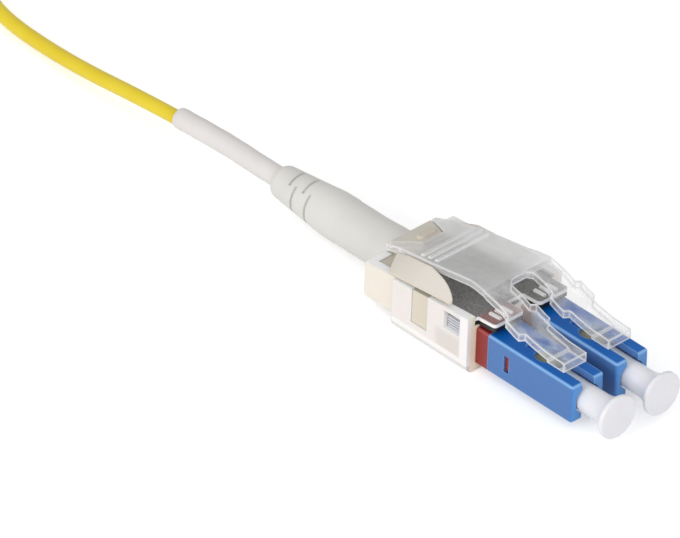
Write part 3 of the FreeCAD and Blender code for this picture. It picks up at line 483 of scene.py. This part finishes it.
TOP_LIGHTER = 6                     # how much lighter the patches on a top are, of 255
PANES_FROM = 5.4 * MM               # the insert's panes lie outside this distance from the middle


def moulded(name, colour, other, bevel=SOFT_EDGE, **sockets):
    """Moulded plastic, rubber or metal: a little colour drift over patches, a fine grain, and softened edges."""
    m, tree, shader = new_material(name, **sockets)
    tree.links.new(drifting(tree, PATCHES_A_METRE, colour, other), shader.inputs["Base Color"])
    softened(tree, shader, bevel)
    return m


def plastic_with_painted_light(name, top, side, front, line, edge_r=0.18 * MM, share=0.6, marks=None, **sockets):
    """Moulded plastic with painted light and shade: a colour for each way that its faces look, as the lamps light
    it. Its rounded edges, where a normal lies between two of these ways, and its sharp ones carry a painted
    highlight line. marks(tree, body, along, across) adds more."""
    m, tree, shader = new_material(name, **sockets)
    x2, y2, z2 = facing(tree)
    body = drifting(tree, FACE_PATCHES_A_METRE, top, [min(255, c + TOP_LIGHTER) for c in top])
    # painted light and shade: the sides, then the front, take the colours that the lamps give them over the top's
    body = mix_colour(tree, y2, body, tint(*side))
    body = mix_colour(tree, x2, body, tint(*front))
    # painted highlight along rounded edges, where the normal lies between up and sideways, and along sharp edges
    between = times(tree, times(tree, z2, calc(tree, "SUBTRACT", 1.0, z2)), 1 / PEAK_OF_PRODUCT)
    painted_highlight = calc(tree, "MAXIMUM", times(tree, edge_share(tree, edge_r), share), times(tree, between, share))
    body = mix_colour(tree, painted_highlight, body, tint(*line))
    if marks:
        body = marks(tree, body, x2, y2)
    tree.links.new(body, shader.inputs["Base Color"])
    softened(tree, shader)
    return m


def shell_marks(tree, body, along, across):
    """The side walls are a thin panel in a whiter frame along the front and the foot, with a painted shade under
    each window, where the dark insert behind shows through. The front ends of the walls are cream inside, the rear
    collar is creamier, and the foot's edge is grey."""
    edging = calc(tree, "MAXIMUM", reach(tree, X, FRAME_FRONT), reach(tree, Z, FRAME_FOOT))
    body = mix_colour(tree, times(tree, edging, across), body, tint(*FRAME_WHITE))
    # painted shade under each window, where the dark insert shows through the thin wall
    shade = times(tree, times(tree, reach(tree, X, SHADE_REAR), reach(tree, X, SHADE_FRONT)),
                  times(tree, reach(tree, Z, SHADE_FOOT), reach(tree, Z, SHADE_TOP)))
    body = mix_colour(tree, times(tree, shade, across), body, tint(*SHADE_GREY))
    body = mix_colour(tree, reach(tree, Z, FOOT_EDGE), body, tint(*FOOT_GREY))
    collar = times(tree, times(tree, across, reach(tree, X, COLLAR_SPAN)), COLLAR_SHARE)
    body = mix_colour(tree, collar, body, tint(*COLLAR_CREAM))
    lip = times(tree, times(tree, along, reach(tree, Y, LIP_INSIDE, both_sides=True)), reach(tree, X, LIP_FRONT))
    return mix_colour(tree, lip, body, tint(*LIP_CREAM))


def cover_plastic(name, colour, plate_haze, arm_haze, edge_haze, **sockets):
    """Clear plastic as a veil: what is behind shows through by 1 less the haze. The haze drifts a little over
    the plate, whose left half is painted whiter for the white floor seen through it, and more over the arms, and the
    edges gather light."""
    m, tree, shader = new_material(name, **sockets)
    shader.inputs["Base Color"].default_value = tint(*colour)
    drift = noise(tree, HAZE_PATCHES_A_METRE, stretch=HAZE_STRETCH)
    plate, arms = (ranged(tree, drift, *NOISE_MIDDLE, *haze) for haze in (plate_haze, arm_haze))
    # painted light: the white floor behind shows whiter through the plate's left half
    plate = calc(tree, "ADD", plate, times(tree, reach(tree, Y, PAINTED_WHITENING_SPAN), PAINTED_WHITENING_SHARE))
    haze = mix_value(tree, beyond(tree, X, ARMS_FROM), plate, arms)
    veil = mix_value(tree, edge_share(tree, COVER_EDGE_R, *COVER_EDGE_TURN), haze, edge_haze)
    tree.links.new(veil, shader.inputs["Alpha"])
    softened(tree, shader)
    return m


def lid_plastic(name, dark_colour, light_colour, edge_colour, painted_gap_shade, painted_red_tint, **sockets):
    """Frosted grain over a dark hollow on the top, with pale edges and ribs. Upright faces are pale along
    their upper rim and below it carry a painted shade of the gap under the lid. The near tongue takes a painted red
    tint from the red block under it."""
    m, tree, shader = new_material(name, **sockets)
    grains = noise(tree, FROST_GRAINS_A_METRE, LID_GRAIN_DETAIL, LID_GRAIN_ROUGH)
    body = ramp_of(tree, grains, (LID_GRAIN[0], dark_colour), (LID_GRAIN[1], light_colour))
    # painted red: the red block under the near tongue tints it
    near_tongue = times(tree, beyond(tree, X, TONGUES_FROM), beyond(tree, Y, 0.0, -1))
    body = mix_colour(tree, times(tree, near_tongue, PAINTED_RED_SHARE), body, tint(*painted_red_tint))
    slope = calc(tree, "MULTIPLY", place_on(tree, X), LID_SLOPE, False)
    above = calc(tree, "SUBTRACT", place_on(tree, Z), slope, False)
    upright = calc(tree, "SUBTRACT", 1.0, facing(tree)[Z])
    ribs = calc(tree, "GREATER_THAN", above, LID_TOP + LID_RIB_FROM)
    pale = calc(tree, "MAXIMUM", calc(tree, "MAXIMUM", edge_share(tree, LID_EDGE_R), upright), ribs)
    body = mix_colour(tree, pale, body, tint(*edge_colour))
    # painted shade: upright faces are dark below their pale rim, for the gap under the lid
    under = times(tree, upright, calc(tree, "LESS_THAN", above, LID_TOP - LID_RIM_T))
    tree.links.new(mix_colour(tree, under, body, tint(*painted_gap_shade)), shader.inputs["Base Color"])
    softened(tree, shader, **FROST)
    return m


def insert_plastic(name, colour, pane_colour, **sockets):
    """A dark insert whose outer faces, in the windows of the side walls, are frosted and pale."""
    m, tree, shader = new_material(name, **sockets)
    body = tint(*colour)
    for sign in (1, -1):
        body = mix_colour(tree, beyond(tree, Y, PANES_FROM, sign), body, tint(*pane_colour))
    tree.links.new(body, shader.inputs["Base Color"])
    softened(tree, shader, **FROST)
    return m


def dress(piece, material):
    """Gives a piece one material all over."""
    piece.data.materials.clear()
    piece.data.materials.append(material)
    if piece.type == "MESH":
        piece.data.polygons.foreach_set("material_index", np.zeros(len(piece.data.polygons), int))


# milky plastic: painted light and shade on its top, sides and front, and a painted highlight line along its edges
milky = plastic_with_painted_light("milky_plastic", top=(252, 251, 250), side=(240, 233, 229), front=(252, 248, 245),
              line=(255, 255, 255), edge_r=0.28 * MM, share=0.8, marks=shell_marks, Roughness=0.3,
              Subsurface_Weight=0.12, Subsurface_Scale=0.0008)
# frosted lid: a painted shade in the gap below its upright rims, and a painted red tint on its near tongue
frosted = lid_plastic("frosted_plastic", (84, 84, 83), (160, 159, 157), edge_colour=(248, 247, 245),
                      painted_gap_shade=(22, 22, 24), painted_red_tint=(168, 104, 104), Roughness=0.35)
clear = cover_plastic("clear_plastic", (246, 246, 246), plate_haze=(0.33, 0.40), arm_haze=(0.06, 0.34),
                      edge_haze=0.95, Roughness=0.12)
dark = insert_plastic("dark_insert", (70, 70, 69), pane_colour=(222, 222, 229), Roughness=0.5)
# cream, blue and red plastic: painted light and shade on top, sides and front, and a painted highlight line along
# their edges
cream = plastic_with_painted_light("cream_plastic", top=(202, 195, 180), side=(222, 212, 194), front=(220, 211, 196),
              line=(240, 235, 228), edge_r=0.3 * MM, Roughness=0.45)
blue = plastic_with_painted_light("blue_plastic", top=(10, 96, 182), side=(84, 126, 186), front=(92, 150, 216),
             line=(160, 208, 255), share=0.7, Roughness=0.3, Specular_IOR_Level=0.2)
red = plastic_with_painted_light("red_plastic", top=(138, 36, 34), side=(142, 34, 30), front=(150, 44, 42), line=(190, 96, 92),
            Roughness=0.4)
rubber = moulded("boot_rubber", (222, 220, 215), (228, 226, 221), Roughness=0.55)
sleeve_white = moulded("sleeve_white", (226, 221, 218), (232, 228, 225), bevel=0, Roughness=0.5)
yellow = moulded("yellow_jacket", (232, 206, 30), (238, 214, 44), bevel=0, Roughness=0.42)
band = moulded("tie_band", (60, 62, 66), (70, 72, 76), Roughness=0.8)
crimp = moulded("crimp_metal", (190, 188, 182), (190, 188, 182), Roughness=0.35, Metallic=1.0)
steel = moulded("spring_steel", (200, 200, 202), (200, 200, 202), Roughness=0.25, Metallic=1.0)
brass = moulded("flange_metal", (150, 148, 120), (164, 160, 132), Roughness=0.45)
zirconia = moulded("ceramic", (244, 242, 236), (244, 242, 236), Roughness=0.15)
buffer_coat = moulded("fibre_buffer", (240, 240, 236), (240, 240, 236), Roughness=0.4)
waxy = moulded("cap_plastic", (238, 238, 243), (243, 243, 248), bevel=0, Roughness=0.36,
               Subsurface_Weight=0.15, Subsurface_Scale=0.001)

FINISH = {
    "lower_shell": milky, "upper_shell": frosted, "latch_cover": clear, "inner_frame": dark,
    "rear_holder": cream, "boot": rubber, "marker_sleeve": sleeve_white, "cable": yellow, "cable_hank": yellow,
    "hank_tie": band, "crimp_sleeve": crimp,
    "plug_body_near": blue, "plug_body_far": blue, "rear_body_near": red, "rear_body_far": red,
    "spring_near": steel, "spring_far": steel, "fibre_near": buffer_coat, "fibre_far": buffer_coat,
    "ferrule_near": zirconia, "ferrule_far": zirconia, "flange_near": brass, "flange_far": brass,
    "dust_cap_near": waxy, "dust_cap_far": waxy,
}
for name, finish in FINISH.items():
    dress(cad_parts[name], finish)

# ---------------------------------------------------------------- boot
BOOT_FRONT_X, BOOT_REAR_X = -29.6, -48.45
BOOT_STEP_X = (-38.75, -38.6)       # a faint step runs round it between these
BOOT_X = (-47.55, -46.0, -44.0, -42.0, -40.6, -39.2, *BOOT_STEP_X, -31.0, -29.64)
BOOT_R = (1.87, 2.03, 2.22, 2.42, 2.57, 2.6, 2.6, 2.55, 2.55, 2.62)     # its outer radius at each of these
BOOT_RINGS, BOOT_END_RINGS = 60, 9
BOOT_SIDES = 180
BOOT_CREASE = 40                    # edges that turn by more degrees stay sharp
BOOT_END_L, BOOT_END_T = 0.9, 0.45  # its rounded rear end, along it and across
BOOT_EDGE = (0.04, 0.06)            # its softened front edge, along it and across
BOOT_BORE, BOOT_NECK_R, BOOT_NECK_BORE, BOOT_NECK_X = 1.35, 2.1, 1.5, -28.6
CRIMP_ROOM_X, CRIMP_ROOM_R = (-38.05, -30.05), 1.9
BOOT_OUTSIDE_R = 1.95               # in front of the crimp's rear, what is wider than this is its outside
BOOT_SAG = 0.2                      # how far its free end hangs under the plugs' middle,
SAG_FROM_X, SAG_OVER = -31.0, 4.0   # and where and over what length it bends down
SLITS = ((-45.75, 100, 34), (-44.8, 0, 52), (-43.65, 100, 34), (-42.6, 0, 52))  # place, middle and half angle
SLIT_W, SLIT_DEPTH = 0.24, 0.25
SLIT_EDGE = 0.04                    # how wide the slope on each long edge of a slit is,
SLIT_END = 4                        # and over how many degrees its ends run out


def slit_depth(x, turn, r):
    """How deep the slits are at a place: full between their ends and long edges, sloped to nothing across
    these, and nothing elsewhere. Each slit has a twin on the opposite side, so angles count modulo 180."""
    depth = 0 * x
    for slit_x, middle, half in SLITS:
        off = np.abs((np.degrees(turn) - middle + 90) % 180 - 90)
        around = np.clip((half - off) / SLIT_END + 0.5, 0, 1)
        across = np.clip((SLIT_W / 2 + SLIT_EDGE - np.abs(x - slit_x)) / SLIT_EDGE, 0, 1)
        depth = np.maximum(depth, around * across)
    return np.where(r > BOOT_OUTSIDE_R, depth * SLIT_DEPTH, 0)


def boot_hang(x, r):
    """The boot leaves its crimped front level and bends down with an eased share of the way from there. Its
    room round the crimp stays level."""
    in_crimp_room = (x > CRIMP_ROOM_X[0] - 0.01) & (r > BOOT_BORE + 0.05) & (r < BOOT_OUTSIDE_R)
    return np.where(in_crimp_room, 0, BOOT_SAG * ease(np.clip((SAG_FROM_X - x) / SAG_OVER, 0, 1)))


def add_boot():
    """A tapered tube turned from its outer radius at each place along it. Its rear end is rounded by a
    quarter ellipse, and slit_depth presses arc slits into its wall."""
    slit_x = [x + side * w for x, _, _ in SLITS for side in (-1, 1) for w in (SLIT_W / 2, SLIT_W / 2 + SLIT_EDGE)]
    rings = np.linspace(BOOT_FRONT_X - 0.1, BOOT_REAR_X + BOOT_END_L, BOOT_RINGS)
    x = np.unique(np.concatenate([rings, slit_x, BOOT_STEP_X]))[::-1]
    a = np.linspace(0, np.pi / 2, BOOT_END_RINGS)[1:]
    front_r = BOOT_R[-1]
    outer = [(BOOT_NECK_X, BOOT_NECK_BORE), (BOOT_NECK_X, BOOT_NECK_R), (BOOT_FRONT_X, BOOT_NECK_R),
             (BOOT_FRONT_X, front_r - BOOT_EDGE[1]), (BOOT_FRONT_X - BOOT_EDGE[0], front_r)]
    outer += list(zip(x, np.interp(x, BOOT_X, BOOT_R)))
    outer += list(zip(BOOT_REAR_X + BOOT_END_L * (1 - np.sin(a)), BOOT_R[0] - BOOT_END_T * (1 - np.cos(a))))
    inner = [(BOOT_REAR_X + 0.05, BOOT_BORE), (CRIMP_ROOM_X[0], BOOT_BORE), (CRIMP_ROOM_X[0], CRIMP_ROOM_R),
             (CRIMP_ROOM_X[1], CRIMP_ROOM_R), (CRIMP_ROOM_X[1], BOOT_NECK_BORE)]
    boot = turned("slit_boot", outer + inner, 0.0, AXIS_Z, BOOT_SIDES, dip=slit_depth, sag=boot_hang)
    return soften_by_angle(boot, BOOT_CREASE)


# ---------------------------------------------------------------- marker sleeve
SLEEVE_FRONT_X, SLEEVE_REAR_X, SLEEVE_R = -40.0, -63.2, 1.15
SLEEVE_ROOM = 0.05                  # between its bore and the cord
SLEEVE_BOW = 0.05                   # the cord's line runs this much further than straight to its end
SLEEVE_LIFT = 0.2                   # how far its rear half stands off the cord's line,
LIFT_FROM, LIFT_OVER = 10.0, 7.0    # and where along it, and over what length, it lifts off
SLEEVE_WAVES = ((0.012, 2.1, 0.0), (0.008, 5.3, 1.0))     # height, pace and start of each
SLEEVE_NECK, SLEEVE_NECK_L = 0.04, 0.5                    # it has shrunk a little more towards its rear end
SLEEVE_FRONT = (0.2, 0.15)                                # its front edge: along it, and off the radius
SLEEVE_END = ((-0.08, 0.07), (0.0, 0.16), (0.02, 0.26))   # its rear edge: way past the end, and off the radius
SLEEVE_END_L = 0.25
SLEEVE_RINGS = 90
SLEEVE_CREASE = 50


def add_marker_sleeve():
    """A shrunk sleeve round the cord's line. Its radius has two faint sine waves along it and falls off
    exponentially towards its rear end, and its outer wall is lifted by an eased share of the way."""
    start = -SLEEVE_FRONT_X + ROUTE[0][0]
    end = -SLEEVE_REAR_X + ROUTE[0][0] + SLEEVE_BOW
    at = np.linspace(start + SLEEVE_FRONT[0], end - SLEEVE_END_L, SLEEVE_RINGS)
    wave = sum(height * np.sin(at * pace + begin) for height, pace, begin in SLEEVE_WAVES)
    wave = wave - SLEEVE_NECK * np.exp(-(end - at) / SLEEVE_NECK_L)
    outer = [(start, SLEEVE_R - SLEEVE_FRONT[1])] + list(zip(at, SLEEVE_R + wave))
    outer += [(end + past, SLEEVE_R - off) for past, off in SLEEVE_END]
    inner = [(end, CABLE_R + SLEEVE_ROOM), (start, CABLE_R + SLEEVE_ROOM)]
    profile = np.array(outer + inner)
    lift = SLEEVE_LIFT * ease(np.clip((profile[:, 0] - start - LIFT_FROM) / LIFT_OVER, 0, 1))
    lift[-len(inner):] = 0
    sleeve = tube_along("shrunk_sleeve", middle_line, profile * MM, lift * MM)
    return soften_by_angle(sleeve, SLEEVE_CREASE)


# ---------------------------------------------------------------- dust caps
CAP_TUBE_R, CAP_BORE_R, CAP_HEAD_R = 1.5, 0.655, 2.45
CAP_REAR_X, CAP_FLARE_X, CAP_HEAD_X, CAP_FRONT_X = -4.25, 1.4, 4.0, 4.5
CAP_BLIND_X = 0.3                   # where its bore ends
CAP_RIM = 0.12                      # the rounding of its edges
CAP_FLARE_RINGS, CAP_RIM_RINGS, CAP_FACE_RINGS = 24, 7, 9
CAP_SIDES = 96
CAP_CREASE = 50


def add_dust_cap(side, y):
    """A hollow tube that opens like a trumpet, with the cube of the way along it, into a thin round head.
    The head's rim is rounded by quarter circles, its face is a low dome that falls off with the square of
    the radius, and a blind bore comes in from behind."""
    t = np.linspace(0, 1, CAP_FLARE_RINGS)
    a = np.linspace(0, np.pi / 2, CAP_RIM_RINGS)
    face = np.linspace(1, 0, CAP_FACE_RINGS)[1:]
    face_r = CAP_HEAD_R - CAP_RIM
    profile = [(CAP_BLIND_X, 0), (CAP_BLIND_X, CAP_BORE_R), (CAP_REAR_X + CAP_RIM, CAP_BORE_R),
               (CAP_REAR_X, CAP_BORE_R + CAP_RIM), (CAP_REAR_X, CAP_TUBE_R - CAP_RIM),
               (CAP_REAR_X + CAP_RIM, CAP_TUBE_R)]
    profile += list(zip(CAP_FLARE_X + (CAP_HEAD_X - CAP_FLARE_X) * t, CAP_TUBE_R + (face_r - CAP_TUBE_R) * t ** 3))
    profile += list(zip(CAP_HEAD_X + CAP_RIM * (1 - np.cos(a)), face_r + CAP_RIM * np.sin(a)))[1:]
    profile += list(zip(CAP_FRONT_X - CAP_RIM + CAP_RIM * np.sin(a), face_r + CAP_RIM * np.cos(a)))
    profile += list(zip(CAP_FRONT_X + CAP_RIM * (1 - face ** 2), face_r * face))
    cap = turned("cap_" + side, profile, y, AXIS_Z, CAP_SIDES, closed=False)
    return soften_by_angle(cap, CAP_CREASE)


# ---------------------------------------------------------------- the hank's tie
TIE_T, TIE_HALF_L = 0.24, 2.0
TIE_HALF_W, TIE_LOW, TIE_HIGH = 5.5, 0.02, 6.75
TIE_CORNER = 1.0                    # the radius of its four turns,
TIE_EDGE = 0.06                     # and the slope on its long edges
TIE_SIDES = 64


def add_tie():
    """A flat band carried round the pinched middle of the hank. At turn t its path is a circle of the corner's
    radius, whose four quarters are pushed apart to the band's width and height, and the wall goes inwards
    from it along minus (cos t, sin t)."""
    turn = np.linspace(0, 2 * np.pi, TIE_SIDES, endpoint=False)
    c, s = np.cos(turn), np.sin(turn)
    y = np.sign(c) * (TIE_HALF_W - TIE_CORNER) + TIE_CORNER * c
    z = (TIE_LOW + TIE_HIGH) / 2 + np.sign(s) * ((TIE_HIGH - TIE_LOW) / 2 - TIE_CORNER) + TIE_CORNER * s
    x, depth = np.array([(-TIE_HALF_L, TIE_EDGE), (-TIE_HALF_L + TIE_EDGE, 0), (TIE_HALF_L - TIE_EDGE, 0),
                         (TIE_HALF_L, TIE_EDGE), (TIE_HALF_L, TIE_T), (-TIE_HALF_L, TIE_T)]).T
    points = np.stack(np.broadcast_arrays(HANK_AT[0] + x, HANK_AT[1] + y[:, None] - c[:, None] * depth,
                                          z[:, None] - s[:, None] * depth), 2)
    return close_up(add_mesh("hank_band", rows_of(points), grid_faces(TIE_SIDES, len(x), True, True)))


# ---------------------------------------------------------------- seating
SIDES = (("near", -3.125), ("far", 3.125))     # the two plugs and their distance from the middle


def settle(piece, finish, slot, body, *nodes):
    """Gives a piece its finish, seats it on its body and takes the place of its nodes. slot is not used."""
    dress(piece, finish)
    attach(piece, body)
    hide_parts(*nodes)
    return piece


settle(add_boot(), rubber, "boot_rubber", "root", "boot")
sleeve = settle(add_marker_sleeve(), sleeve_white, "marker_sleeve", "root", "marker_sleeve")
for side, y in SIDES:
    settle(add_dust_cap(side, y), waxy, "dust_cap", "cap_" + side, "dust_cap_" + side)
for side, y in SIDES:
    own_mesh(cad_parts["spring_" + side])
tie = settle(add_tie(), band, "tie", "root", "hank_tie")
settle(cable, yellow, "cable_jacket", "root", "cable", "cable_hank")

# ---------------------------------------------------------------- floor and light
FLOOR_SIZE = 6.0
FLOOR_LEVEL = 0.86
FLOOR_LIFT = 0.45
WORLD_LEVEL = 0.62
LIGHTS = (                          # name, place, size and watts
    ("key", (-0.1, -0.9, 0.38), 0.5, 3.2),
    ("front", (0.85, -0.25, 0.3), 0.5, 2.0),
)


def add_floor():
    """A plain matt floor. What is seen of it, straight, in a gloss or through clear plastic, is lifted to
    white."""
    bpy.ops.mesh.primitive_plane_add(size=FLOOR_SIZE, location=(0, 0, 0))
    floor = bpy.context.object
    floor.name = "floor"
    m = bpy.data.materials.new("floor_white")
    m.use_nodes = True
    tree = m.node_tree
    tree.nodes.clear()
    out = add(tree, "ShaderNodeOutputMaterial")
    matt = add(tree, "ShaderNodeBsdfDiffuse")
    matt.inputs["Color"].default_value = (FLOOR_LEVEL, FLOOR_LEVEL, FLOOR_LEVEL, 1)
    lift = add(tree, "ShaderNodeEmission")
    path = add(tree, "ShaderNodeLightPath")
    both = add(tree, "ShaderNodeAddShader")
    straight_or_gloss = calc(tree, "MAXIMUM", path.outputs["Is Camera Ray"], path.outputs["Is Glossy Ray"])
    any_of_them = calc(tree, "MAXIMUM", straight_or_gloss, path.outputs["Is Transmission Ray"])
    tree.links.new(times(tree, any_of_them, FLOOR_LIFT), lift.inputs["Strength"])
    tree.links.new(matt.outputs[0], both.inputs[0])
    tree.links.new(lift.outputs[0], both.inputs[1])
    tree.links.new(both.outputs[0], out.inputs[0])
    floor.data.materials.append(m)


def add_light(name, place, size, power):
    """A square lamp that looks at the frame's middle."""
    data = bpy.data.lights.new(name, "AREA")
    data.size = size
    data.energy = power
    lamp = bpy.data.objects.new(name, data)
    lamp.location = place
    lamp.rotation_mode = "QUATERNION"
    lamp.rotation_quaternion = (-Vector(place)).to_track_quat("-Z", "Y")
    bpy.context.scene.collection.objects.link(lamp)


def add_world():
    """Even soft light from all round, which is white where it is seen straight."""
    world = bpy.data.worlds.new("world")
    bpy.context.scene.world = world
    world.use_nodes = True
    tree = world.node_tree
    back = tree.nodes["Background"]
    back.inputs["Color"].default_value = (1, 1, 1, 1)
    path = add(tree, "ShaderNodeLightPath")
    level = ranged(tree, path.outputs["Is Camera Ray"], 0.0, 1.0, WORLD_LEVEL, 1.0)
    tree.links.new(level, back.inputs["Strength"])


add_floor()
for lamp in LIGHTS:
    add_light(*lamp)
add_world()
bpy.context.scene.view_settings.view_transform = "Standard"
